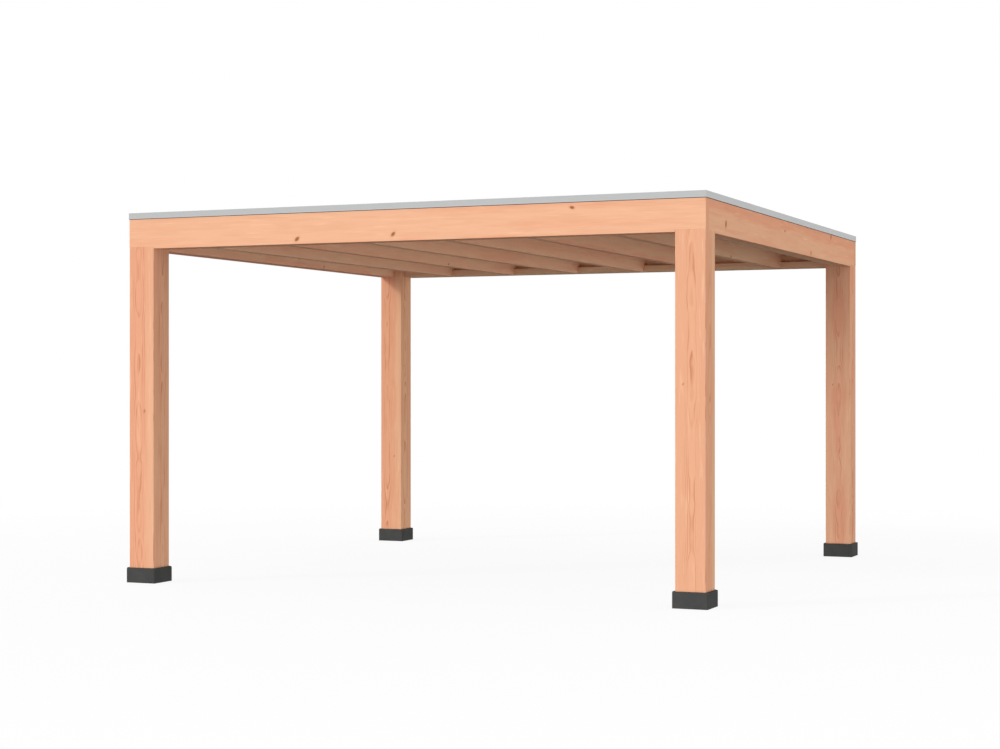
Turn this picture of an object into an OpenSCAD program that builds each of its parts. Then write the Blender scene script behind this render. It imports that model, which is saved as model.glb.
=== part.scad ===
// Flat-roofed timber patio cover on four posts, open on all sides.
// Millimetres. The origin is on the ground at the middle of the plan,
// +X runs to the right along the front, +Y to the back and +Z up.

/* [Plan] */
// Width over the posts and planks, left to right
cover_w = 4000; // [2600:10:6000]
// Depth over the posts and planks, front to back
cover_d = 4000; // [2600:10:6000]
// Height of the passage, from the ground to the underside of the planks
clear_h = 2227; // [1900:1:2800]

/* [Feet] */
// Height of a foot, from the ground to the end of its post
foot_h = 100; // [60:1:200]
// How far a foot stands out beyond each face of its post
foot_ledge = 15; // [6:1:40]
// Height of the sloped top edge of a foot
foot_slope_h = 10; // [4:1:40]
// Radius of the upright edges of a foot
foot_round = 8; // [2:0.5:15]

/* [Posts] */
// Side of a square post
post_w = 190; // [150:1:260]
// Radius of the upright edges of a post
post_round = 5; // [1:0.5:12]

/* [Ring of planks] */
// Thickness of the planks that ring the roof
plank_t = 60; // [40:1:90]
// Height of the planks, which is the height of the joists too
plank_h = 205; // [160:1:300]
// How far the plank ends are cut up to sit over the post heads
seat_cut = 15; // [5:1:30]
// Radius of the lower edges of planks, ledgers and joists
timber_round = 3; // [1:0.5:8]

/* [Joists] */
// Thickness of a joist
joist_t = 60; // [40:1:80]
// Thickness of the ledgers under the joist ends
ledger_t = 55; // [30:1:80]
// Height of the ledgers
ledger_h = 50; // [30:1:90]

/* [Roof] */
// Thickness of the roof boards
deck_t = 18; // [12:1:30]
// Thickness of the roof skin
membrane_t = 1.5; // [1:0.1:4]

/* [Roof trim] */
// Wall thickness of the trim profile
trim_t = 2; // [1:0.1:3]
// Gap between the planks and the outer leg of the trim
trim_gap = 1; // [0.5:0.1:5]
// Height of the outer leg of the trim
trim_leg_h = 40; // [30:1:80]
// Height of the raised rim above the roof skin
rim_h = 17; // [8:1:25]
// Width of the raised rim
rim_w = 20; // [12:1:40]
// Width of the flange that lies on the roof skin inside the rim
flange_w = 45; // [20:1:90]
// How far the drip at the foot of the leg turns out
drip_w = 1.5; // [0.5:0.1:4]
// Height of the drip
drip_h = 4; // [2:0.5:8]

/* [Hidden] */
$fn = 48;

timber_colour = [0.94, 0.71, 0.57];
inner_timber_colour = [0.80, 0.60, 0.47];
foot_colour = [0.30, 0.30, 0.30];
trim_colour = [0.77, 0.77, 0.77];
membrane_colour = [0.16, 0.16, 0.17];

joist_count = 6;
joist_pitch = (cover_w - plank_t) / (joist_count + 1);
foot_w = post_w + 2 * foot_ledge;
shoulder_z = clear_h + seat_cut;
deck_z = clear_h + plank_h;
membrane_z = deck_z + deck_t;
trim_z = membrane_z + membrane_t;
trim_out = trim_gap + trim_t;
trim_reach = trim_out + drip_w;
// Overshoot of a cutter past the face that it opens
over = 1;

// Rectangle t wide and h high on the x axis, with its two lower corners rounded.
module timber_section(t, h) {
    translate([-t / 2, timber_round])
        square([t, h - timber_round]);
    translate([-t / 2 + timber_round, 0])
        square([t - 2 * timber_round, h]);
    for (side = [-1, 1])
        translate([side * (t / 2 - timber_round), timber_round])
            circle(r = timber_round);
}

// Square of side w with rounded corners, centred.
module rounded_square(w, r) {
    square([w, w - 2 * r], center = true);
    square([w - 2 * r, w], center = true);
    for (x = [-1, 1], y = [-1, 1])
        translate([x * (w / 2 - r), y * (w / 2 - r)])
            circle(r = r);
}

// Timber along X, centred, standing on z = 0.
module timber_bar(length, t, h) {
    rotate([90, 0, 90])
        translate([0, 0, -length / 2])
            linear_extrude(length)
                timber_section(t, h);
}

// Timber along X whose two ends are cut up from below, to sit on what carries them.
module notched_bar(length, t, h, notch_l, notch_h) {
    difference() {
        timber_bar(length, t, h);
        for (start = [-length / 2 - over, length / 2 - notch_l])
            translate([start, -t / 2 - over, -over])
                cube([notch_l + over, t + 2 * over, notch_h + over]);
    }
}

// Places the front left corner's piece at any corner of the plan.
module at_corner(right, back) {
    mirror([right, 0, 0])
        mirror([0, back, 0])
            translate([(post_w - cover_w) / 2, (post_w - cover_d) / 2, 0])
                children();
}

// Side view of a foot: upright wall with a sloped edge up to the post.
module foot_outline() {
    polygon([
        [-foot_w / 2, 0],
        [foot_w / 2, 0],
        [foot_w / 2, foot_h - foot_slope_h],
        [post_w / 2, foot_h],
        [-post_w / 2, foot_h],
        [-foot_w / 2, foot_h - foot_slope_h]
    ]);
}

// Block whose four top edges slope in to the faces of the post that it carries.
module foot() {
    color(foot_colour)
        intersection() {
            linear_extrude(foot_h)
                rounded_square(foot_w, foot_round);
            for (turn = [0, 90])
                rotate([90, 0, turn])
                    linear_extrude(foot_w, center = true)
                        foot_outline();
        }
}

// Square post. Its head is rebated on the two outer sides, so that the planks sit on the
// shoulders and the remaining tongue stands behind them up to the roof boards.
module post() {
    head_h = deck_z - shoulder_z;
    rebate = [post_w + 2 * over, plank_t + over, head_h + over];
    color(timber_colour)
        difference() {
            translate([0, 0, foot_h])
                linear_extrude(deck_z - foot_h)
                    rounded_square(post_w, post_round);
            translate([-post_w / 2 - over, -post_w / 2 - over, shoulder_z])
                cube(rebate);
            translate([-post_w / 2 - over, -post_w / 2 - over, shoulder_z])
                cube([rebate[1], rebate[0], rebate[2]]);
        }
}

// Plank across the front or the back, over both posts and the ends of the side planks.
module cross_beam(side) {
    color(timber_colour)
        translate([0, side * (cover_d - plank_t) / 2, clear_h])
            notched_bar(cover_w, plank_t, plank_h, post_w, seat_cut);
}

// Plank along a side, between the front and back planks.
module side_beam(side) {
    color(timber_colour)
        translate([side * (cover_w - plank_t) / 2, 0, clear_h])
            rotate([0, 0, 90])
                notched_bar(cover_d - 2 * plank_t, plank_t, plank_h, post_w - plank_t, seat_cut);
}

// Batten on the inside of the front or back plank, between the posts, under the joist ends.
module ledger(side) {
    color(inner_timber_colour)
        translate([0, side * ((cover_d - ledger_t) / 2 - plank_t), clear_h])
            timber_bar(cover_w - 2 * post_w, ledger_t, ledger_h);
}

// Joist against the inside of a side plank, between the post heads.
module edge_joist(side) {
    color(inner_timber_colour)
        translate([side * ((cover_w - joist_t) / 2 - plank_t), 0, clear_h])
            rotate([0, 0, 90])
                timber_bar(cover_d - 2 * post_w, joist_t, plank_h);
}

// Joist from the front plank to the back plank, counted from the left, cut over both ledgers.
module joist(number) {
    color(inner_timber_colour)
        translate([(plank_t - cover_w) / 2 + number * joist_pitch, 0, clear_h])
            rotate([0, 0, 90])
                notched_bar(cover_d - 2 * plank_t, joist_t, plank_h, ledger_t, ledger_h);
}

// Roof boards over the planks, the joists and the post heads.
module roof_deck() {
    color(inner_timber_colour)
        translate([-cover_w / 2, -cover_d / 2, deck_z])
            cube([cover_w, cover_d, deck_t]);
}

// Roof skin over the boards, out to their edges and under the trim's flange.
module roof_membrane() {
    color(membrane_colour)
        translate([-cover_w / 2, -cover_d / 2, membrane_z])
            cube([cover_w, cover_d, membrane_t]);
}

// Cross-section of the trim: x points out from the plank's face, y up from the roof skin.
// A flange on the skin, a raised hollow rim, and an outer leg that ends in a turned-out drip.
module trim_section() {
    leg_bottom = rim_h - trim_leg_h;
    rim_in = trim_out - rim_w;
    polygon([
        [rim_in - flange_w, 0],
        [rim_in + trim_t, 0],
        [rim_in + trim_t, rim_h - trim_t],
        [trim_gap, rim_h - trim_t],
        [trim_gap, leg_bottom + drip_h],
        [trim_gap + drip_w, leg_bottom],
        [trim_reach, leg_bottom],
        [trim_out, leg_bottom + drip_h],
        [trim_out, rim_h],
        [rim_in, rim_h],
        [rim_in, trim_t],
        [rim_in - flange_w, trim_t]
    ]);
}

// Length of trim along X outside a plank face at y = -depth / 2, mitred at both ends.
module trim_run(length, depth) {
    outer = length / 2 + trim_reach;
    inward = rim_w + flange_w + drip_w;
    height = trim_leg_h + 2 * over;
    intersection() {
        translate([0, -depth / 2, 0])
            rotate([90, 0, -90])
                linear_extrude(2 * outer, center = true)
                    trim_section();
        translate([0, -depth / 2 - trim_reach, rim_h + over - height])
            linear_extrude(height)
                polygon([
                    [-outer, 0],
                    [outer, 0],
                    [outer - inward - over, inward + over],
                    [inward + over - outer, inward + over]
                ]);
    }
}

// Trim on the front, or turned half round for the back.
module cross_trim(turn) {
    color(trim_colour)
        translate([0, 0, trim_z])
            rotate([0, 0, turn])
                trim_run(cover_w, cover_d);
}

// Trim on a side, a quarter turn from the front either way.
module side_trim(turn) {
    color(trim_colour)
        translate([0, 0, trim_z])
            rotate([0, 0, turn])
                trim_run(cover_d, cover_w);
}

at_corner(0, 0) foot();  // front_left_foot
at_corner(1, 0) foot();  // front_right_foot
at_corner(0, 1) foot();  // back_left_foot
at_corner(1, 1) foot();  // back_right_foot
at_corner(0, 0) post();  // front_left_post
at_corner(1, 0) post();  // front_right_post
at_corner(0, 1) post();  // back_left_post
at_corner(1, 1) post();  // back_right_post
cross_beam(-1);  // front_beam
cross_beam(1);  // back_beam
side_beam(-1);  // left_beam
side_beam(1);  // right_beam
ledger(-1);  // front_ledger
ledger(1);  // back_ledger
edge_joist(-1);  // left_edge_joist
edge_joist(1);  // right_edge_joist
joist(1);  // joist_1
joist(2);  // joist_2
joist(3);  // joist_3
joist(4);  // joist_4
joist(5);  // joist_5
joist(6);  // joist_6
roof_deck();
roof_membrane();
cross_trim(0);  // front_trim
cross_trim(180);  // back_trim
side_trim(-90);  // left_trim
side_trim(90);  // right_trim
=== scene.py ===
"""Looks of a flat-roofed timber patio cover: grain in every timber, roof boards, roof skin, trim and feet.

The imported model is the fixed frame. Everything is in metres, +X right along the front, +Y back, +Z up.
"""
import math
from typing import NamedTuple

import bpy
import numpy as np
from bpy.props import FloatProperty, FloatVectorProperty, IntProperty, PointerProperty
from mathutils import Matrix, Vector


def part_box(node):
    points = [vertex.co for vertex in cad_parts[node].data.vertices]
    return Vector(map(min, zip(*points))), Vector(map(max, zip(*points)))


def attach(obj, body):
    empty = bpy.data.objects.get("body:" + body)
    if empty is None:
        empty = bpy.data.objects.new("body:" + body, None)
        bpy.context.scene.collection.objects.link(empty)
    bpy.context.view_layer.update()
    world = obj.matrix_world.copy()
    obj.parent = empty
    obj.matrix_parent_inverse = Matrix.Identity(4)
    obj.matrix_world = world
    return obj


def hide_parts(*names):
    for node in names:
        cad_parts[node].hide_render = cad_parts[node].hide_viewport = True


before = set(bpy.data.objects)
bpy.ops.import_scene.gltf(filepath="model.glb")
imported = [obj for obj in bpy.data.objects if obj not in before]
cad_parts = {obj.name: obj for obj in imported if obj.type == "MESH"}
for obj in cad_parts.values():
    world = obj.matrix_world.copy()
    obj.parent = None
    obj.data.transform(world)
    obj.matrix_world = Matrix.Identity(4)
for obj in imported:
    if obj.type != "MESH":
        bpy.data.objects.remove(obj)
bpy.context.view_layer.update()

bl_info = {
    "name": "Timber patio cover",
    "version": (1, 0, 0),
    "blender": (4, 5, 0),
    "location": "View3D > Sidebar > Patio cover",
    "description": "Finishes, roof boards, roof skin, fixings and stage of a flat-roofed timber patio cover",
    "category": "Object",
}

BODY = "root"
PHOTO_WIDTH = 1000
X, Y, Z = 0, 1, 2
WHITE = (1.0, 1.0, 1.0)


def linear(red, green, blue):
    """Linear colour of a screen colour given from 0 to 255, by the sRGB curve."""
    screen = np.array([red, green, blue]) / 255.0
    curved = np.where(screen <= 0.04045, screen / 12.92, ((screen + 0.055) / 1.055) ** 2.4)
    return tuple(float(c) for c in curved)


def colour_property(name, description, red, green, blue):
    """A colour setting whose default is a screen colour."""
    return FloatVectorProperty(
        name=name, description=description, subtype="COLOR", size=3, min=0.0, max=1.0,
        default=linear(red, green, blue),
    )


def length_property(name, description, default):
    """A setting in metres."""
    return FloatProperty(
        name=name, description=description, default=default, min=0.0, unit="LENGTH", precision=4,
    )


def share_property(name, description, default):
    """A setting from 0 to 1."""
    return FloatProperty(
        name=name, description=description, default=default, min=0.0, max=1.0, subtype="FACTOR",
    )


def angle_property(name, description, degrees):
    """An angle whose default is given in degrees."""
    return FloatProperty(
        name=name, description=description, default=math.radians(degrees), subtype="ANGLE",
    )


def strength_property(name, description, default):
    """A strength of light."""
    return FloatProperty(name=name, description=description, default=default, min=0.0)


def direction_property(name, description, default):
    """A direction towards a light."""
    return FloatVectorProperty(name=name, description=description, default=default, subtype="DIRECTION")


class PatioTimber(bpy.types.PropertyGroup):
    """Colours and grain of the planed softwood."""

    sapwood: colour_property("Sapwood", "Pale outer wood of the log", 233, 181, 147)
    heartwood: colour_property("Heartwood", "Pinker inner wood of the log", 231, 168, 136)
    pale: colour_property("Pale streak", "Palest streaks of early wood", 243, 198, 160)
    latewood: colour_property("Late wood", "Dark line at the end of each ring", 186, 103, 62)
    knot: colour_property("Knot", "Heart of a knot", 138, 72, 40)
    end_grain: colour_property("End grain", "Sawn ends of the timbers", 224, 156, 121)
    ring_gap: length_property("Ring gap", "Width of one year's ring", 0.0046)
    roughness: share_property("Roughness", "Roughness of the planed faces", 0.66)


class PatioRoof(bpy.types.PropertyGroup):
    """Roof boards, roof skin, edge trim and screws."""

    board_count: IntProperty(name="Boards", description="Boards from front to back", default=28, min=4)
    board_chamfer: length_property("Board chamfer", "Chamfer on the lower edges of a board", 0.004)
    board_gap: length_property("Board gap", "Gap between two boards", 0.0008)
    skin_colour: colour_property("Skin", "Rubber sheet on the roof", 44, 44, 46)
    dust_colour: colour_property("Dust", "Dust dried on the rubber sheet", 92, 90, 86)
    skin_wave: length_property("Skin wave", "Height of the waves in the rubber sheet", 0.0022)
    trim_colour: colour_property("Trim", "Bare metal of the edge trim", 195, 196, 196)
    trim_roughness: share_property("Trim roughness", "Roughness of the edge trim", 0.46)
    # The sheet's turned-down edge is a dark band that paints the shadow line under the trim
    shadow_hem_show: length_property("Hem", "How far the sheet's turned-down edge shows below the trim", 0.003)
    screw_pitch: length_property("Screw pitch", "Distance between the screws in the trim", 0.31)


class PatioFeet(bpy.types.PropertyGroup):
    """Cast feet under the posts."""

    colour: colour_property("Concrete", "Dyed cast concrete", 67, 68, 67)
    bloom: colour_property("Bloom", "Pale bloom on the concrete", 84, 84, 82)
    grain: length_property("Grain", "Size of the sand grains that show", 0.0035)


class PatioStage(bpy.types.PropertyGroup):
    """Camera, light and floor."""

    eye: FloatVectorProperty(
        name="Eye", description="Place of the camera", subtype="TRANSLATION", unit="LENGTH",
        default=(5.349, -13.131, 1.334),
    )
    heading: angle_property("Heading", "Turn of the camera to the left of +Y", 23.495)
    focal_px: FloatProperty(
        name="Focal length", description="In pixels of the photo's frame", default=1963.1,
    )
    shift: FloatVectorProperty(
        name="Shift", description="Shift of the frame from the camera's axis, in frame widths", size=2,
        default=(0.0265, 0.0084),
    )
    sun_from: direction_property("Sun from", "Direction towards the sun", (-0.634, -0.592, 0.497))
    sun_strength: strength_property("Sun", "Strength of the sun", 1.06)
    sun_angle: angle_property("Sun width", "Angle that the sun covers", 9.0)
    fill_from: direction_property("Fill from", "Direction towards the fill light", (-0.230, -0.961, 0.155))
    fill_strength: strength_property("Fill", "Strength of the low fill light", 0.80)
    fill_angle: angle_property("Fill width", "Angle that the fill light covers", 16.0)
    sky_strength: strength_property("Sky", "Strength of the even light from above", 0.85)
    ground_strength: strength_property("Ground", "Strength of the light that the ground throws back", 0.95)
    ground_side: strength_property("Ground side", "How much stronger it is from the right", 0.37)
    floor_colour: colour_property("Floor", "Pale floor", 232, 232, 232)
    floor_white: share_property("Floor white", "How far the floor by the posts is lifted to white", 0.90)
    floor_fade: FloatVectorProperty(
        name="Floor fade", description="Distances between which the floor goes over to white", size=2,
        unit="LENGTH", default=(4.0, 9.0),
    )
    floor_reach: length_property("Floor reach", "Half the side of the floor", 400.0)


class Shade:
    """One socket of a shader tree. Operators on it add Math nodes, and node() adds any other node."""

    def __init__(self, tree, socket):
        self.tree = tree
        self.socket = socket

    def node(self, kind, settings=None, values=None, output=0):
        """Adds a node, makes its settings, then gives its sockets their values or links."""
        made = self.tree.nodes.new(kind)
        for name, value in (settings or {}).items():
            setattr(made, name, value)
        for key, value in (values or {}).items():
            if isinstance(value, Shade):
                self.tree.links.new(value.socket, made.inputs[key])
            else:
                made.inputs[key].default_value = value
        return Shade(self.tree, made.outputs[output])

    def sibling(self, output):
        """Another output of the same node."""
        return Shade(self.tree, self.socket.node.outputs[output])

    def math(self, operation, *values):
        """Adds a Math node."""
        return self.node("ShaderNodeMath", {"operation": operation}, dict(enumerate(values)))

    def vector(self, operation, *values, output=0):
        """Adds a Vector Math node."""
        return self.node("ShaderNodeVectorMath", {"operation": operation}, dict(enumerate(values)), output)

    def __add__(self, other):
        return self.math("ADD", self, other)

    __radd__ = __add__

    def __sub__(self, other):
        return self.math("SUBTRACT", self, other)

    def __rsub__(self, other):
        return self.math("SUBTRACT", other, self)

    def __mul__(self, other):
        return self.math("MULTIPLY", self, other)

    __rmul__ = __mul__

    def __truediv__(self, other):
        return self.math("DIVIDE", self, other)

    def length(self):
        """Length of this vector."""
        return self.vector("LENGTH", self, output=1)

    def dot(self, other):
        """Dot product of this vector and another."""
        return self.vector("DOT_PRODUCT", self, other, output=1)

    def stretched(self, scales, offset=(0.0, 0.0, 0.0)):
        """This vector times the scales, moved by an offset."""
        return self.vector("MULTIPLY_ADD", self, tuple(scales), tuple(offset))

    def noise(self, scale, detail=2.0, roughness=0.5):
        """Cloudy noise from 0 to 1 at this vector."""
        return self.node(
            "ShaderNodeTexNoise", {"noise_dimensions": "3D"},
            {"Vector": self, "Scale": scale, "Detail": detail, "Roughness": roughness},
        )

    def step(self, low, high):
        """0 below low, 1 above high, and smooth between them."""
        return self.node(
            "ShaderNodeMapRange", {"interpolation_type": "SMOOTHSTEP"},
            {"Value": self, "From Min": low, "From Max": high},
        )

    def mark(self, low, high, share):
        """0 below low, a share above high, and smooth between them."""
        return self.step(low, high) * share

    def blend(self, first, second):
        """The first colour where this value is 0 and the second where it is 1."""
        return self.node(
            "ShaderNodeMix", {"data_type": "RGBA"}, {0: self, 6: rgba(first), 7: rgba(second)}, output=2,
        )


def rgba(colour):
    """A colour with full alpha, or a socket left as it is."""
    return colour if isinstance(colour, Shade) else (*tuple(colour)[:3], 1.0)


def tinted(colour, *tints):
    """A colour times one tint or more, kept within 1."""
    values = list(colour)
    for tint in tints:
        values = [value * share for value, share in zip(values, tint)]
    return tuple(min(1.0, value) for value in values)


def darker(colour, share):
    """A share of a colour."""
    return tuple(c * share for c in colour)


def along_axis(axis, along, across):
    """A vector with one value along an axis and another across it."""
    values = [across] * 3
    values[axis] = along
    return values


def new_material(name):
    """A material with its Principled node, and the Object coordinates to start from."""
    material = bpy.data.materials.new(name)
    material.use_nodes = True
    tree = material.node_tree
    coordinates = tree.nodes.new("ShaderNodeTexCoord")
    return material, tree.nodes["Principled BSDF"], Shade(tree, coordinates.outputs["Object"])


def set_surface(shader, colour, roughness, height, bump, depth, metallic=0.0):
    """Feeds a Principled node: colour, roughness and a bump that is depth metres high."""
    tree = shader.id_data
    normal = height.node("ShaderNodeBump", None, {"Strength": bump, "Distance": depth, "Height": height})
    values = {"Base Color": colour, "Roughness": roughness, "Metallic": metallic, "Normal": normal}
    for socket, value in values.items():
        if isinstance(value, Shade):
            tree.links.new(value.socket, shader.inputs[socket])
        else:
            shader.inputs[socket].default_value = value


def dress(node, material):
    """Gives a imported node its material."""
    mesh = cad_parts[node].data
    mesh.materials.clear()
    mesh.materials.append(material)


def add_piece(name, points, faces, material, slot, smooth=False):
    """A new piece of the object from an array of points and a list of faces."""
    mesh = bpy.data.meshes.new(name)
    mesh.from_pydata(points.reshape(-1, 3).tolist(), [], faces)
    mesh.polygons.foreach_set("use_smooth", np.full(len(mesh.polygons), smooth))
    mesh.update()
    mesh.materials.append(material)
    piece = bpy.data.objects.new(name, mesh)
    bpy.context.scene.collection.objects.link(piece)
    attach(piece, BODY)
    return piece


def middle(node):
    """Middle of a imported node's box."""
    low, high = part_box(node)
    return (low + high) / 2


class Figure(NamedTuple):
    """How the grain of a group of timbers shows.

    tint is what the wood's colours are multiplied by; the joists' tint also paints light, making their
    shaded wood paler and less red. lines is how dark the ring lines are, and flanks the share of that which
    is left where the rings stand upright in the face. wave is how far the lines wave, waves how many waves
    there are to a metre, along and across, and knots how dark the knots are.
    """

    tint: tuple
    lines: float
    flanks: float
    wave: float
    waves: tuple
    knots: float


class Cut(NamedTuple):
    """How one timber was sawn from its log.

    axis is the way that the timber runs. pith is how far the log's middle lies from the timber's, along
    the two other axes in order, and heart the radius of its heartwood. Knots are (along, across, radius,
    tilt in degrees), where across is along X in a post and along Z in the others. tone is how its colour
    differs from its group's; on the back beam, the back ledger and some joists it is painted light and
    shade, paler in the middle joists and darker at the back and the right. shift is how far the
    heartwood's middle lies from the log's.
    """

    axis: int
    pith: tuple
    heart: float
    knots: tuple
    tone: tuple = (1.0, 1.0, 1.0)
    shift: tuple = (0.0, 0.0)


POST_FIGURE = Figure(
    tint=(0.955, 0.915, 0.895), lines=0.62, flanks=0.35, wave=0.024, waves=(2.7, 2.5), knots=0.40,
)
PLANK_FIGURE = Figure(
    tint=(1.0, 0.985, 0.970), lines=0.34, flanks=1.0, wave=0.008, waves=(3.6, 9.0), knots=0.80,
)
# The joists' tint is partly painted light: their wood is paler and less red than the planks', to make up for
# the shade and the red bounce under the roof
JOIST_FIGURE = Figure(
    tint=(1.08, 1.17, 1.21), lines=0.30, flanks=1.0, wave=0.006, waves=(3.6, 9.0), knots=0.65,
)
# Painted shade: the roof boards are a darker, less red copy of the timbers' wood, so that the shade among
# the joists comes out less red
BOARD_SHADE_TINT = (0.70, 0.86, 0.92)

POST_CUTS = {
    "front_left_post": Cut(
        Z, pith=(-0.020, 0.012), heart=0.120, knots=((-0.120, 0.023, 0.009, 20),),
        tone=(0.995, 1.01, 1.01), shift=(-0.030, -0.030),
    ),
    "front_right_post": Cut(
        Z, pith=(0.008, -0.012), heart=0.140, knots=((0.061, -0.045, 0.006, 25),),
        tone=(1.01, 1.10, 1.10), shift=(-0.030, -0.038),
    ),
    "back_left_post": Cut(
        Z, pith=(-0.035, -0.020), heart=0.100, knots=((-0.550, 0.030, 0.007, 10),),
        tone=(0.975, 1.015, 0.995), shift=(-0.010, -0.015),
    ),
    "back_right_post": Cut(
        Z, pith=(0.004, -0.010), heart=0.090, knots=((0.055, -0.039, 0.006, 25),),
        tone=(0.97, 0.98, 1.00),
    ),
}
PLANK_CUTS = {
    "front_beam": Cut(
        X, pith=(0.10, -0.34), heart=0.27,
        knots=((-0.728, -0.070, 0.015, 40), (-0.042, -0.059, 0.014, 45), (1.160, 0.066, 0.012, -12)),
    ),
    "right_beam": Cut(
        Y, pith=(-0.06, 0.23), heart=0.215,
        knots=((-1.578, -0.031, 0.018, 75), (-0.162, 0.027, 0.010, 0), (1.176, 0.078, 0.016, 80),
               (0.565, -0.077, 0.013, 80)),
    ),
    # The back beam's tone is painted shade: darker and less red, as the wood looks in the shade at the back
    "back_beam": Cut(
        X, pith=(-0.07, 0.30), heart=0.24,
        knots=((-1.210, 0.040, 0.013, 30), (0.700, -0.050, 0.015, 60), (1.450, 0.010, 0.010, -20)),
        tone=(0.90, 1.00, 0.99),
    ),
    "left_beam": Cut(
        Y, pith=(0.05, -0.26), heart=0.22,
        knots=((-1.020, 0.050, 0.012, 45), (0.240, -0.020, 0.015, 70), (1.350, -0.062, 0.011, -30)),
    ),
}
JOIST_CUTS = {
    "front_ledger": Cut(
        X, pith=(0.16, 0.10), heart=0.17, knots=((0.730, 0.004, 0.007, 20),),
    ),
    # The back ledger's tone is painted shade: darker and less red
    "back_ledger": Cut(
        X, pith=(-0.14, 0.12), heart=0.17, knots=((-0.910, -0.006, 0.007, -10),), tone=(0.86, 0.97, 0.95),
    ),
    "left_edge_joist": Cut(
        Y, pith=(-0.10, -0.26), heart=0.22, knots=((0.551, -0.085, 0.010, 60),),
    ),
    # The right edge joist's tone is painted shade at the right of the roof
    "right_edge_joist": Cut(
        Y, pith=(0.12, 0.22), heart=0.20, knots=((-0.620, 0.030, 0.012, 50),), tone=(0.93, 0.95, 0.95),
    ),
    "joist_1": Cut(
        Y, pith=(0.08, 0.28), heart=0.20, knots=((1.120, 0.020, 0.012, 70),),
    ),
    # tone is painted light: the middle joists are paler
    "joist_2": Cut(
        Y, pith=(-0.11, -0.20), heart=0.15, knots=((0.573, -0.086, 0.009, 40),), tone=(1.04, 1.03, 1.02),
    ),
    # tone is painted light: the middle joists are paler
    "joist_3": Cut(
        Y, pith=(0.06, 0.24), heart=0.16, knots=((-1.500, -0.040, 0.010, 65),), tone=(1.04, 1.03, 1.02),
    ),
    # tone is painted light: the middle joists are paler
    "joist_4": Cut(
        Y, pith=(-0.09, 0.30), heart=0.22, knots=((1.280, 0.050, 0.010, 50),), tone=(1.04, 1.03, 1.02),
    ),
    "joist_5": Cut(
        Y, pith=(0.10, -0.25), heart=0.18, knots=((-1.480, 0.010, 0.009, 80),),
    ),
    # tone is painted shade at the back right
    "joist_6": Cut(
        Y, pith=(-0.07, 0.26), heart=0.20, knots=((0.492, -0.094, 0.011, 60),), tone=(0.90, 0.94, 0.93),
    ),
}

# Step between the seeds of two timbers, and the shares of a seed that move the noise along X, Y and Z
SEED_STEP = 7.31
SEED_SHARES = (1.0, 0.37, 0.71)

# Metres by which the rings are pushed in or out: over the log's length, and round a knot
WANDER = 0.022
KNOT_SWELL = 0.010
# How fast that swelling falls off with the distance from the knot
KNOT_FALL = 0.3
# Length and width of a knot, in shares of its radius, and its reach through the timber
KNOT_LENGTH, KNOT_WIDTH, KNOT_REACH = 1.35, 0.8, 1000.0
# Share of the late wood's colour that the wood round a knot takes on
KNOT_HALO = 0.22

# Waves to a metre in the widths of the rings, and how many rings that moves
YEAR_WAVES, YEAR_SPREAD = 42.0, 2.5
# How much of a ring line is lost where it breaks off
DASH_LOSS = 0.75
# Half the width of the heartwood's edge, and the metres by which patches and flames push it
HEART_EDGE, HEART_PATCH, HEART_FLAME = 0.010, 0.06, 0.08
# Share of the end grain's colour on a sawn end, and what its ring lines add to that
SAWN_END, SAWN_RING = 0.45, 0.4


class Log:
    """Shader values of one timber, in the log that it was sawn from."""

    def __init__(self, place, cut, centre, seed):
        self.cut = cut
        self.local = place.vector("SUBTRACT", place, tuple(centre))
        self.offset = [seed * share for share in SEED_SHARES]

    def grain(self, along, across, detail=2.0):
        """Noise with so many waves to a metre along and across the timber."""
        stretched = self.local.stretched(along_axis(self.cut.axis, along, across), self.offset)
        return stretched.noise(scale=1.0, detail=detail)

    def away(self, line):
        """The way straight out from a line along the log, given by its two places across."""
        start = [0.0, 0.0, 0.0]
        for axis, value in zip([a for a in (X, Y, Z) if a != self.cut.axis], line):
            start[axis] = -value
        return self.local.stretched(along_axis(self.cut.axis, 0.0, 1.0), start)

    def knot_distance(self):
        """Distance to the nearest knot's middle, in knot radii.

        A knot is a tilted oval that goes right through the timber.
        """
        run = self.cut.axis
        across_axis = X if run == Z else Z
        through_axis = X if run == Y else Y
        nearest = None
        for along, across, radius, tilt in self.cut.knots:
            place = [0.0, 0.0, 0.0]
            place[run] = along
            place[across_axis] = across
            turn = [0.0, 0.0, 0.0]
            turn[through_axis] = math.radians(-tilt if run == X else tilt)
            size = along_axis(through_axis, KNOT_REACH, KNOT_WIDTH * radius)
            size[run] = KNOT_LENGTH * radius
            inside = self.local.node(
                "ShaderNodeMapping", {"vector_type": "TEXTURE"},
                {"Vector": self.local, "Location": place, "Rotation": turn, "Scale": size},
            )
            distance = inside.length()
            nearest = distance if nearest is None else distance.math("MINIMUM", nearest, distance)
        return nearest


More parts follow.
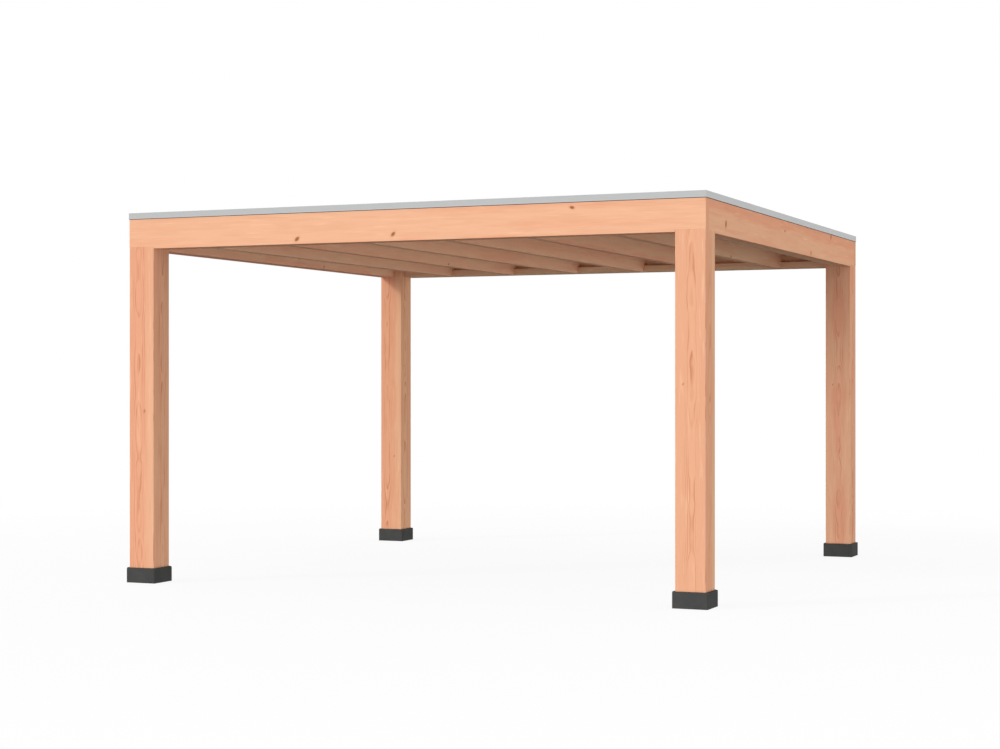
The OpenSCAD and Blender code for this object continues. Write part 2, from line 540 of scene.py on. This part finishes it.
def timber_material(name, cut, figure, centre, seed, look):
    """Wood with the rings of its log in all three directions.

    The distance from the log's middle, pushed in and out by slow noise and by the knots, is divided by the
    ring gap. Each whole step is one ring, which goes from pale early wood to a broken dark line of late
    wood. The lines can be fainter where the rings stand upright in the face.
    """
    material, shader, place = new_material(name)
    log = Log(place, cut, centre, seed)

    wander = (log.grain(along=0.9, across=1.6) - 0.5) * WANDER
    ripple = (log.grain(*figure.waves) - 0.5) * figure.wave
    knot = log.knot_distance()
    swell = knot.math("POWER", math.e, knot * knot * -KNOT_FALL) * KNOT_SWELL
    pushed = wander + ripple + swell
    outwards = log.away(cut.pith)
    radius = outwards.length() + pushed
    heart_radius = log.away([p + s for p, s in zip(cut.pith, cut.shift)]).length() + pushed

    years = radius.node(
        "ShaderNodeTexNoise", {"noise_dimensions": "1D"}, {"W": radius, "Scale": YEAR_WAVES, "Detail": 3.0},
    )
    turns = radius / look.ring_gap + years * YEAR_SPREAD
    ring = turns.math("FRACT", turns)
    late = ring.step(low=0.40, high=0.92) * (1 - ring.step(low=0.94, high=1.0))
    normal = place.node("ShaderNodeNewGeometry", output="Normal")
    lying = (normal.dot(outwards) / outwards.length()).step(low=0.86, high=0.975)
    lines = figure.lines * (figure.flanks + lying * (1 - figure.flanks))
    dash = log.grain(along=3.2, across=34.0).step(low=0.44, high=0.64)
    fibre = log.grain(along=9.0, across=420.0, detail=1.0)
    patch = log.grain(along=0.7, across=12.0)
    flame = (patch - 0.5) * HEART_PATCH + (log.grain(along=2.4, across=5.0) - 0.5) * HEART_FLAME
    heart = 1 - (heart_radius + flame).step(cut.heart - HEART_EDGE, cut.heart + HEART_EDGE)
    pink = heart.math("MAXIMUM", heart, patch.mark(low=0.46, high=0.66, share=0.65))

    # The group's tint and the timber's tone, which on the joists and the back timbers also paint light and
    # shade
    def own(colour):
        return tinted(colour, figure.tint, cut.tone)

    colour = pink.blend(own(look.sapwood), own(look.heartwood))
    pale = log.grain(along=4.5, across=70.0).mark(low=0.56, high=0.74, share=0.45)
    colour = pale.blend(colour, own(look.pale))
    colour = (late * (dash * DASH_LOSS + (1 - DASH_LOSS)) * lines).blend(colour, own(look.latewood))
    colour = fibre.mark(low=0.50, high=0.80, share=0.08).blend(colour, own(look.latewood))
    colour = ((1 - knot.step(low=0.8, high=2.0)) * KNOT_HALO).blend(colour, own(look.latewood))
    colour = ((1 - knot.step(low=0.55, high=1.15)) * figure.knots).blend(colour, look.knot)
    along = normal.dot(tuple(along_axis(cut.axis, 1.0, 0.0)))
    sawn = along.math("ABSOLUTE", along).step(low=0.7, high=0.9)
    colour = (sawn * (late * SAWN_RING + SAWN_END)).blend(colour, look.end_grain)

    roughness = look.roughness + fibre * 0.08 - late * 0.06
    height = late * 0.5 + fibre * 0.6 + knot.mark(low=0.6, high=1.2, share=0.5)
    set_surface(shader, colour, roughness, height, bump=0.08, depth=0.0006)
    shader.inputs["Specular IOR Level"].default_value = 0.0
    return material


def dress_timbers(cuts, figure, first_seed):
    """Gives each timber of a group wood of its own log."""
    look = bpy.context.scene.patio_timber
    for number, (node, cut) in enumerate(cuts.items()):
        seed = first_seed + number * SEED_STEP
        dress(node, timber_material(node + "_wood", cut, figure, middle(node), seed, look))


class PATIO_OT_posts(bpy.types.Operator):
    """Dress the four posts, sawn with the middle of the log inside them"""

    bl_idname = "patio.posts"
    bl_label = "Posts"

    def execute(self, context):
        dress_timbers(POST_CUTS, POST_FIGURE, first_seed=3.0)
        return {"FINISHED"}


class PATIO_OT_planks(bpy.types.Operator):
    """Dress the ring of planks"""

    bl_idname = "patio.planks"
    bl_label = "Ring of planks"

    def execute(self, context):
        dress_timbers(PLANK_CUTS, PLANK_FIGURE, first_seed=41.0)
        return {"FINISHED"}


class PATIO_OT_joists(bpy.types.Operator):
    """Dress the joists and the ledgers under their ends"""

    bl_idname = "patio.joists"
    bl_label = "Joists and ledgers"

    def execute(self, context):
        dress_timbers(JOIST_CUTS, JOIST_FIGURE, first_seed=83.0)
        return {"FINISHED"}


# Pores to the width of one sand grain
PORE_RATE = 0.35


def concrete_material(look):
    """Dyed concrete: cloudy bloom, sand grains, and small pores darkened with painted shade."""
    material, shader, place = new_material("foot_concrete")
    cloud = place.noise(scale=9.0, detail=4.0, roughness=0.6)
    sand = place.noise(scale=1.0 / look.grain, detail=2.0, roughness=0.6)
    pore = place.node("ShaderNodeTexVoronoi", None, {"Vector": place, "Scale": PORE_RATE / look.grain})
    pore_and_shade = 1 - pore.step(low=0.05, high=0.22)
    colour = cloud.mark(low=0.35, high=0.8, share=0.45).blend(look.colour, look.bloom)
    colour = sand.mark(low=0.45, high=0.75, share=0.30).blend(colour, look.bloom)
    # Painted shade: the pores, also pressed in by the bump, are darkened in colour
    colour = (pore_and_shade * 0.8).blend(colour, darker(look.colour, share=0.62))
    set_surface(shader, colour, 0.82 + sand * 0.12, sand * 0.5 - pore_and_shade, bump=0.35, depth=0.0012)
    shader.inputs["Specular IOR Level"].default_value = 0.05
    return material


class PATIO_OT_feet(bpy.types.Operator):
    """Dress the cast feet"""

    bl_idname = "patio.feet"
    bl_label = "Feet"

    def execute(self, context):
        concrete = concrete_material(context.scene.patio_feet)
        for side in ("front_left", "front_right", "back_left", "back_right"):
            dress(side + "_foot", concrete)
        return {"FINISHED"}


def trim_material(name, axis, look):
    """Drawn metal: fine lines along the length of the trim, and a faint cloud."""
    material, shader, place = new_material(name)
    drawn = place.stretched(along_axis(axis, along=1.5, across=900.0))
    lines = drawn.noise(scale=1.0, detail=2.0, roughness=0.6)
    cloud = place.noise(scale=3.0, detail=3.0, roughness=0.55)
    colour = (lines * 0.35 + cloud * 0.30).blend(look.trim_colour, darker(look.trim_colour, share=0.86))
    roughness = look.trim_roughness + lines * 0.10 - cloud * 0.05
    set_surface(shader, colour, roughness, lines, bump=0.10, depth=0.0004, metallic=0.56)
    return material


class PATIO_OT_trim(bpy.types.Operator):
    """Dress the metal trim round the roof"""

    bl_idname = "patio.trim"
    bl_label = "Roof trim"

    def execute(self, context):
        look = context.scene.patio_roof
        for axis, sides in ((X, ("front", "back")), (Y, ("left", "right"))):
            metal = trim_material("trim_metal_" + "xy"[axis], axis, look)
            for side in sides:
                dress(side + "_trim", metal)
        return {"FINISHED"}


# How far the grain moves from one roof board to the next
BOARD_STEP = 5.7


def board_material(look):
    """Planed boards: each board's number moves its grain and its tone. Their wood is a darker, less red copy
    of the timbers': painted shade.
    """
    material, shader, place = new_material("roof_board_wood")
    number = place.node("ShaderNodeAttribute", {"attribute_name": "board"}, output="Fac")
    tone = place.node("ShaderNodeTexWhiteNoise", {"noise_dimensions": "1D"}, {"W": number})
    grain = place.node(
        "ShaderNodeTexNoise", {"noise_dimensions": "4D"},
        {"Vector": place.stretched(along_axis(X, along=1.1, across=34.0)), "W": number * BOARD_STEP,
         "Scale": 1.0, "Detail": 3.0, "Distortion": 0.4},
    )
    fibre = place.stretched(along_axis(X, along=9.0, across=420.0)).noise(scale=1.0, detail=1.0)
    # The boards' colours are the timbers' times the painted shade tint
    latewood = tinted(look.latewood, BOARD_SHADE_TINT)
    colour = tone.blend(tinted(look.sapwood, BOARD_SHADE_TINT), tinted(look.heartwood, BOARD_SHADE_TINT))
    colour = grain.mark(low=0.42, high=0.70, share=0.30).blend(colour, latewood)
    colour = fibre.mark(low=0.5, high=0.8, share=0.12).blend(colour, latewood)
    height = grain * 0.4 + fibre * 0.6
    set_surface(shader, colour, look.roughness + fibre * 0.08, height, bump=0.18, depth=0.0006)
    return material


class PATIO_OT_roof_boards(bpy.types.Operator):
    """Lay the roof boards edge to edge across the joists"""

    bl_idname = "patio.roof_boards"
    bl_label = "Roof boards"

    def execute(self, context):
        look = context.scene.patio_roof
        low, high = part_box("roof_deck")
        points, faces, numbers = board_rows(low, high, look.board_count, look.board_chamfer, look.board_gap)
        wood = board_material(context.scene.patio_timber)
        boards = add_piece("roof_boards", points, faces, wood, "roof_boards")
        attribute = boards.data.attributes.new("board", "FLOAT", "POINT")
        attribute.data.foreach_set("value", numbers.astype(np.float32))
        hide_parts("roof_deck")
        return {"FINISHED"}


def board_rows(low, high, count, chamfer, gap):
    """A board's outline carried along X, once for each board.

    The outline is a rectangle with its two lower corners cut off. Point (board, end, corner) is the end's x
    and the outline's corner moved back by the board's width times its number.
    """
    width = (high.y - low.y) / count
    left, right = gap / 2, width - gap / 2
    bottom, top = low.z, high.z
    outline = np.array([
        [left + chamfer, bottom], [right - chamfer, bottom], [right, bottom + chamfer],
        [right, top], [left, top], [left, bottom + chamfer],
    ])
    corners = len(outline)
    points = np.zeros((count, 2, corners, 3))
    points[..., X] = np.array([low.x, high.x])[None, :, None]
    points[..., Y] = low.y + outline[None, None, :, 0] + width * np.arange(count)[:, None, None]
    points[..., Z] = outline[None, None, :, 1]
    index = np.arange(points.size // 3).reshape(count, 2, corners)
    following = np.roll(index, -1, axis=2)
    sides = np.stack([index[:, 0], following[:, 0], following[:, 1], index[:, 1]], axis=-1).reshape(-1, 4)
    near_ends = index[:, 0, ::-1]
    far_ends = index[:, 1]
    faces = sides.tolist() + near_ends.tolist() + far_ends.tolist()
    numbers = np.repeat(np.arange(count), 2 * corners)
    return points, faces, numbers


def grid_faces(rows, columns):
    """Quads of a grid of points stored row by row."""
    index = np.arange(rows * columns).reshape(rows, columns)
    quads = np.stack([index[:-1, :-1], index[:-1, 1:], index[1:, 1:], index[1:, :-1]], axis=-1)
    return quads.reshape(-1, 4).tolist()


def skin_material(look):
    """Matt rubber with clouds and fine specks of dried dust."""
    material, shader, place = new_material("roof_skin_rubber")
    cloud = place.noise(scale=1.6, detail=4.0, roughness=0.6)
    speck = place.noise(scale=180.0, detail=2.0, roughness=0.6)
    colour = cloud.mark(low=0.45, high=0.78, share=0.40).blend(look.skin_colour, look.dust_colour)
    colour = speck.mark(low=0.55, high=0.75, share=0.18).blend(colour, look.dust_colour)
    set_surface(shader, colour, 0.66 + cloud * 0.18, speck, bump=0.15, depth=0.0005)
    return material


class PATIO_OT_roof_skin(bpy.types.Operator):
    """Lay the rubber sheet on the roof, in low waves that die out at the trim; its turned-down edge paints
    the shadow under the trim
    """

    bl_idname = "patio.roof_skin"
    bl_label = "Roof skin"

    def execute(self, context):
        look = context.scene.patio_roof
        low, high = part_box("roof_membrane")
        trim_low, trim_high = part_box("front_trim")
        points, faces = skin_sheet(low, high, trim_high.y - low.y, look.skin_wave)
        skin = add_piece("roof_skin", points, faces, skin_material(look), "roof_skin", smooth=True)
        wall = skin.modifiers.new("Sheet", "SOLIDIFY")
        wall.thickness = high.z - low.z
        wall.offset = -1.0
        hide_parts("roof_membrane")
        # The turned-down edge: a band of the sheet's dark rubber, painted shadow under the trim
        points, faces = shadow_hem_ring(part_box("front_beam"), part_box("left_beam"), trim_low.z - look.shadow_hem_show)
        add_piece("roof_skin_shadow_hem", points, faces, skin.data.materials[0], "roof_skin")
        return {"FINISHED"}


# How far the inside and the outside of the sheet's turned-down edge, a dark band that paints the shadow
# under the trim, stand off the planks
SHADOW_HEM_INSIDE, SHADOW_HEM_OUTSIDE = 0.0001, 0.0009


def shadow_hem_ring(front, left, bottom):
    """Thin band round the planks, under the trim: a turned-down edge of the sheet that paints the shadow
    line below the trim.

    Point (corner, turn) is the corner's signs times the planks' half size plus the turn's offset. The four
    turns of the band's section are in and out, low and high.
    """
    half = np.array([-left[0].x, -front[0].y])
    offset = np.array([SHADOW_HEM_INSIDE, SHADOW_HEM_OUTSIDE, SHADOW_HEM_OUTSIDE, SHADOW_HEM_INSIDE])[None, :, None]
    signs = np.array([[-1, -1], [1, -1], [1, 1], [-1, 1]])[:, None, :]
    points = np.zeros((4, 4, 3))
    points[..., :Z] = signs * (half + offset)
    points[..., Z] = [bottom, bottom, front[1].z, front[1].z]
    index = np.arange(points.size // 3).reshape(points.shape[:2])
    corner = np.roll(index, -1, axis=0)
    turn = np.roll(index, -1, axis=1)
    both = np.roll(corner, -1, axis=1)
    return points, np.stack([index, corner, both, turn], axis=-1).reshape(-1, 4).tolist()


# Points along each side of the sheet, and the width of the strip by the trim where its waves die out
SKIN_POINTS = 161
SKIN_FADE = 0.25
# Waves of the sheet: share of the height, turn to a metre along x and y, and start
SKIN_WAVES = ((1.0, 2.1, 0.6, 0.0), (1.0, 0.9, -2.7, 1.3), (0.6, 4.3, 3.1, 0.4))
# Places of the two creases, their width and their share of the height
CREASE_X, CREASE_Y, CREASE_WIDTH, CREASE_SHARE = 0.71, -0.46, 0.02, 0.5


def skin_sheet(low, high, border, wave):
    """Height over (x, y): the sheet's top, plus crossing waves and two creases, times a fade.

    The fade is 0 under the flange and 1 away from it. The creases run where the sheet was folded, each a
    narrow bell of the distance to its line.
    """
    x = np.linspace(low.x, high.x, SKIN_POINTS)[None, :]
    y = np.linspace(low.y, high.y, SKIN_POINTS)[:, None]
    inside_x = np.minimum(x - low.x, high.x - x) - border
    inside_y = np.minimum(y - low.y, high.y - y) - border
    fade = np.clip(np.minimum(inside_x, inside_y) / SKIN_FADE, 0.0, 1.0)
    fade = fade * fade * (3 - 2 * fade)
    waves = sum(
        share * np.sin(turn_x * x + turn_y * y + start) for share, turn_x, turn_y, start in SKIN_WAVES
    )
    span = 2 * sum(share for share, *_ in SKIN_WAVES)
    creases = np.exp(-((x - CREASE_X) / CREASE_WIDTH) ** 2) + np.exp(-((y - CREASE_Y) / CREASE_WIDTH) ** 2)
    points = np.zeros((SKIN_POINTS, SKIN_POINTS, 3))
    points[..., X] = x
    points[..., Y] = y
    points[..., Z] = high.z + fade * wave * (0.5 + waves / span + CREASE_SHARE * creases)
    return points, grid_faces(SKIN_POINTS, SKIN_POINTS)


class Screw(NamedTuple):
    """Size of a screw's head."""

    radius: float
    height: float


TRIM_SCREW = Screw(radius=0.0055, height=0.0028)
TIMBER_SCREW = Screw(radius=0.005, height=0.0010)
STEEL_BRIGHT = (0.52, 0.52, 0.50)
STEEL_DULL = (0.36, 0.36, 0.35)

# Rings of a head, from its rim to its drive: share of the radius, share of the height, and 1 for lobes
HEAD_RINGS = np.array([
    [1.00, 0.00, 0], [1.00, 0.30, 0], [0.88, 0.72, 0], [0.62, 1.00, 0],
    [0.42, 1.00, 1], [0.38, 0.35, 1], [0.02, 0.30, 0],
])
HEAD_TURNS = 18
LOBES, LOBE_DEPTH = 6, 0.12

# Distance of the trim's screws from its inner edge and from its ends, and the thickness of its flange
FLANGE_INSET, TRIM_END, FLANGE_THICKNESS = 0.020, 0.1, 0.002
# Distances between the screws along a ledger and along an edge joist
LEDGER_PITCH, EDGE_JOIST_PITCH = 0.281, 0.30
# Heights of the two rows in an edge joist, as shares of its depth
EDGE_JOIST_ROWS = (0.26, 0.74)


def steel_material():
    """Zinc-plated screw steel with a faint cloud."""
    material, shader, place = new_material("screw_steel")
    cloud = place.noise(scale=240.0, detail=2.0, roughness=0.5)
    colour = cloud.blend(STEEL_BRIGHT, STEEL_DULL)
    set_surface(shader, colour, 0.34 + cloud * 0.16, cloud, bump=0.08, depth=0.0002, metallic=1.0)
    return material


def screw_heads(rows, screw):
    """Screw heads in rows, each row given by its places and the way that its heads stand out.

    Point (screw, ring, turn) is the screw's place, plus the ring's radius times the cosine and the sine of
    the turn on two axes across, plus the ring's share of the height along the way out. The rings of the
    drive's recess have lobes: their radius is times 1 plus the lobe depth times the cosine of six turns.
    """
    places = np.concatenate([row for row, _ in rows])
    out = np.concatenate([np.full_like(row, way) for row, way in rows])
    first = np.roll(out, 1, axis=1)
    second = np.cross(out, first)
    angle = np.linspace(0.0, 2 * np.pi, HEAD_TURNS, endpoint=False)
    radius, height, lobed = (HEAD_RINGS[:, column, None] for column in range(3))
    spread = screw.radius * radius * (1 + LOBE_DEPTH * lobed * np.cos(LOBES * angle))
    shape = (
        (spread * np.cos(angle))[..., None] * first[:, None, None]
        + (spread * np.sin(angle))[..., None] * second[:, None, None]
        + (screw.height * height)[..., None] * out[:, None, None]
    )
    points = places[:, None, None] + shape
    index = np.arange(points.size // 3).reshape(points.shape[:3])
    following = np.roll(index, -1, axis=2)
    walls = np.stack([index[:, :-1], following[:, :-1], following[:, 1:], index[:, 1:]], axis=-1)
    floors = index[:, -1]
    backs = index[:, 0, ::-1]
    return points, walls.reshape(-1, 4).tolist() + floors.tolist() + backs.tolist()


def spaced(low, high, pitch):
    """Even places from low to high, about a pitch apart and half a pitch in from the ends."""
    count = max(2, round((high - low) / pitch))
    return low + (np.arange(count) + 0.5) * (high - low) / count


def places_at(x, y, z):
    """Points from their x, y and z, each a number or an array."""
    return np.stack(np.broadcast_arrays(x, y, z), axis=-1)


class PATIO_OT_screws(bpy.types.Operator):
    """Put the screws in the trim's flange, the ledgers and the edge joists"""

    bl_idname = "patio.screws"
    bl_label = "Screws"

    def execute(self, context):
        pitch = context.scene.patio_roof.screw_pitch
        steel = steel_material()
        add_piece("trim_screws", *screw_heads(self.trim_rows(pitch), TRIM_SCREW), steel, "trim")
        add_piece("ledger_screws", *screw_heads(self.ledger_rows(), TIMBER_SCREW), steel, "trim")
        add_piece("edge_joist_screws", *screw_heads(self.edge_joist_rows(), TIMBER_SCREW), steel, "trim")
        return {"FINISHED"}

    @staticmethod
    def trim_rows(pitch):
        """A row along the flange of each length of trim."""
        rows = []
        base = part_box("roof_membrane")[1].z + FLANGE_THICKNESS
        for side, run, inward in (("front", X, 1), ("back", X, -1), ("left", Y, 1), ("right", Y, -1)):
            low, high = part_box(side + "_trim")
            across = Y if run == X else X
            inner = high[across] - FLANGE_INSET if inward > 0 else low[across] + FLANGE_INSET
            along = spaced(low[run] + TRIM_END, high[run] - TRIM_END, pitch)
            places = places_at(along, inner, base) if run == X else places_at(inner, along, base)
            rows.append((places, (0, 0, 1)))
        return rows

    @staticmethod
    def ledger_rows():
        """Two screws in each bay of both ledgers."""
        rows = []
        for side, inward in (("front", 1), ("back", -1)):
            low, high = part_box(side + "_ledger")
            face = high.y if inward > 0 else low.y
            along = spaced(low.x, high.x, LEDGER_PITCH)
            rows.append((places_at(along, face, (low.z + high.z) / 2), (0, inward, 0)))
        return rows

    @staticmethod
    def edge_joist_rows():
        """Screws in two staggered rows through both edge joists."""
        rows = []
        for side, inward in (("left", 1), ("right", -1)):
            low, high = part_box(side + "_edge_joist")
            face = high.x if inward > 0 else low.x
            along = spaced(low.y, high.y, EDGE_JOIST_PITCH)
            share = np.where(np.arange(len(along)) % 2 == 0, *EDGE_JOIST_ROWS)
            rows.append((places_at(face, along, low.z + (high.z - low.z) * share), (inward, 0, 0)))
        return rows


def seen_rays(tree):
    """1 for the rays that show the stage itself (straight, mirrored or bent), 0 for those that light."""
    rays = Shade(tree, tree.nodes.new("ShaderNodeLightPath").outputs["Is Camera Ray"])
    bent = rays.math("MAXIMUM", rays.sibling("Is Glossy Ray"), rays.sibling("Is Transmission Ray"))
    return rays.math("MAXIMUM", rays, bent)


# Share of white in the floor's mottling
FLOOR_MOTTLE = 0.04
# Where the floor's inner square ends, as a share of its reach
FLOOR_INNER = 0.1


def floor_material(look):
    """Pale floor that keeps the object's shadow.

    Where it is seen it is lifted towards white, and all the way far off.
    """
    material, shader, place = new_material("stage_floor")
    tree = material.node_tree
    tree.nodes.remove(shader)
    mottled = (place.noise(scale=0.7) * FLOOR_MOTTLE).blend(look.floor_colour, WHITE)
    diffuse = place.node("ShaderNodeBsdfDiffuse", None, {"Color": mottled})
    white = place.node("ShaderNodeEmission", None, {"Strength": 1.0})
    far_off = place.length().step(*look.floor_fade)
    lift = seen_rays(tree) * (look.floor_white + far_off * (1 - look.floor_white))
    mixed = place.node("ShaderNodeMixShader", None, {0: lift, 1: diffuse, 2: white})
    tree.links.new(mixed.socket, tree.nodes["Material Output"].inputs["Surface"])
    return material


# Heights of a direction between which the ground's light sets in, and those where the sky takes over
GROUND_RISE = (-0.70, -0.30)
HORIZON = (-0.12, 0.10)


class PATIO_OT_stage(bpy.types.Operator):
    """Make the camera, the light and the pale floor"""

    bl_idname = "patio.stage"
    bl_label = "Stage"

    def execute(self, context):
        look = context.scene.patio_stage
        context.scene.view_settings.view_transform = "Standard"
        self.add_camera(context.scene, look)
        self.add_sun(context.scene, "sun", look.sun_from, look.sun_strength, look.sun_angle)
        self.add_sun(context.scene, "fill", look.fill_from, look.fill_strength, look.fill_angle)
        self.add_sky(context.scene, look)
        self.add_floor(context.scene, look)
        return {"FINISHED"}

    @staticmethod
    def add_camera(scene, look):
        """A level camera that keeps the posts upright in the picture."""
        lens = bpy.data.cameras.new("camera")
        lens.lens = lens.sensor_width * look.focal_px / PHOTO_WIDTH
        lens.shift_x, lens.shift_y = look.shift
        lens.clip_end = 2 * look.floor_reach
        camera = bpy.data.objects.new("camera", lens)
        camera.location = look.eye
        camera.rotation_euler = (math.pi / 2, 0.0, look.heading)
        scene.collection.objects.link(camera)
        scene.camera = camera

    @staticmethod
    def add_sun(scene, name, towards, strength, angle):
        """A sun lamp that isn't mirrored in the pieces."""
        lamp = bpy.data.lights.new(name, "SUN")
        lamp.energy = strength
        lamp.angle = angle
        sun = bpy.data.objects.new(name, lamp)
        sun.rotation_euler = Vector(towards).to_track_quat("Z", "Y").to_euler()
        sun.visible_glossy = False
        scene.collection.objects.link(sun)

    @staticmethod
    def add_sky(scene, look):
        """White where seen. As light it is even above, bright from the ground far off and dark below."""
        world = bpy.data.worlds.new("sky")
        world.use_nodes = True
        scene.world = world
        tree = world.node_tree
        background = tree.nodes["Background"]
        background.inputs["Color"].default_value = rgba(WHITE)
        direction = Shade(tree, tree.nodes.new("ShaderNodeTexCoord").outputs["Generated"])
        side = direction.node("ShaderNodeSeparateXYZ", None, {"Vector": direction}, output="X")
        height = side.sibling("Z")
        ground = height.step(*GROUND_RISE) * (side * look.ground_side + look.ground_strength)
        above = height.step(*HORIZON)
        light = above * look.sky_strength + (1 - above) * ground
        shown = seen_rays(tree)
        strength = shown + (1 - shown) * light
        tree.links.new(strength.socket, background.inputs["Strength"])

    @staticmethod
    def add_floor(scene, look):
        """A wide square that is only looked at.

        The lower half of the sky gives the light that a ground throws back.
        """
        places = np.array([-1.0, -FLOOR_INNER, FLOOR_INNER, 1.0]) * look.floor_reach
        points = np.zeros((len(places), len(places), 3))
        points[..., X] = places[None, :]
        points[..., Y] = places[:, None]
        mesh = bpy.data.meshes.new("floor")
        mesh.from_pydata(points.reshape(-1, 3).tolist(), [], grid_faces(len(places), len(places)))
        mesh.materials.append(floor_material(look))
        floor = bpy.data.objects.new("floor", mesh)
        floor.visible_diffuse = False
        floor.visible_shadow = False
        scene.collection.objects.link(floor)


class PATIO_PT_panel(bpy.types.Panel):
    """Lists the pieces of the patio cover and their settings"""

    bl_idname = "PATIO_PT_panel"
    bl_label = "Patio cover"
    bl_space_type = "VIEW_3D"
    bl_region_type = "UI"
    bl_category = "Patio cover"

    def draw(self, context):
        for operator in OPERATORS:
            self.layout.operator(operator.bl_idname)
        for group in GROUPS:
            settings = getattr(context.scene, group)
            box = self.layout.box()
            for name in settings.bl_rna.properties.keys():
                if name not in ("rna_type", "name"):
                    box.prop(settings, name)


OPERATORS = (
    PATIO_OT_posts, PATIO_OT_planks, PATIO_OT_joists, PATIO_OT_feet, PATIO_OT_trim,
    PATIO_OT_roof_boards, PATIO_OT_roof_skin, PATIO_OT_screws, PATIO_OT_stage,
)
GROUPS = {
    "patio_timber": PatioTimber,
    "patio_roof": PatioRoof,
    "patio_feet": PatioFeet,
    "patio_stage": PatioStage,
}


def register():
    for group in GROUPS.values():
        bpy.utils.register_class(group)
    for name, group in GROUPS.items():
        setattr(bpy.types.Scene, name, PointerProperty(type=group))
    for operator in OPERATORS:
        bpy.utils.register_class(operator)
    bpy.utils.register_class(PATIO_PT_panel)


def unregister():
    bpy.utils.unregister_class(PATIO_PT_panel)
    for operator in reversed(OPERATORS):
        bpy.utils.unregister_class(operator)
    for name, group in GROUPS.items():
        delattr(bpy.types.Scene, name)
        bpy.utils.unregister_class(group)


def main():
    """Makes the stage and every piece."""
    register()
    bpy.ops.patio.stage()
    bpy.ops.patio.posts()
    bpy.ops.patio.planks()
    bpy.ops.patio.joists()
    bpy.ops.patio.feet()
    bpy.ops.patio.trim()
    bpy.ops.patio.roof_boards()
    bpy.ops.patio.roof_skin()
    bpy.ops.patio.screws()


if __name__ == "__main__":
    main()
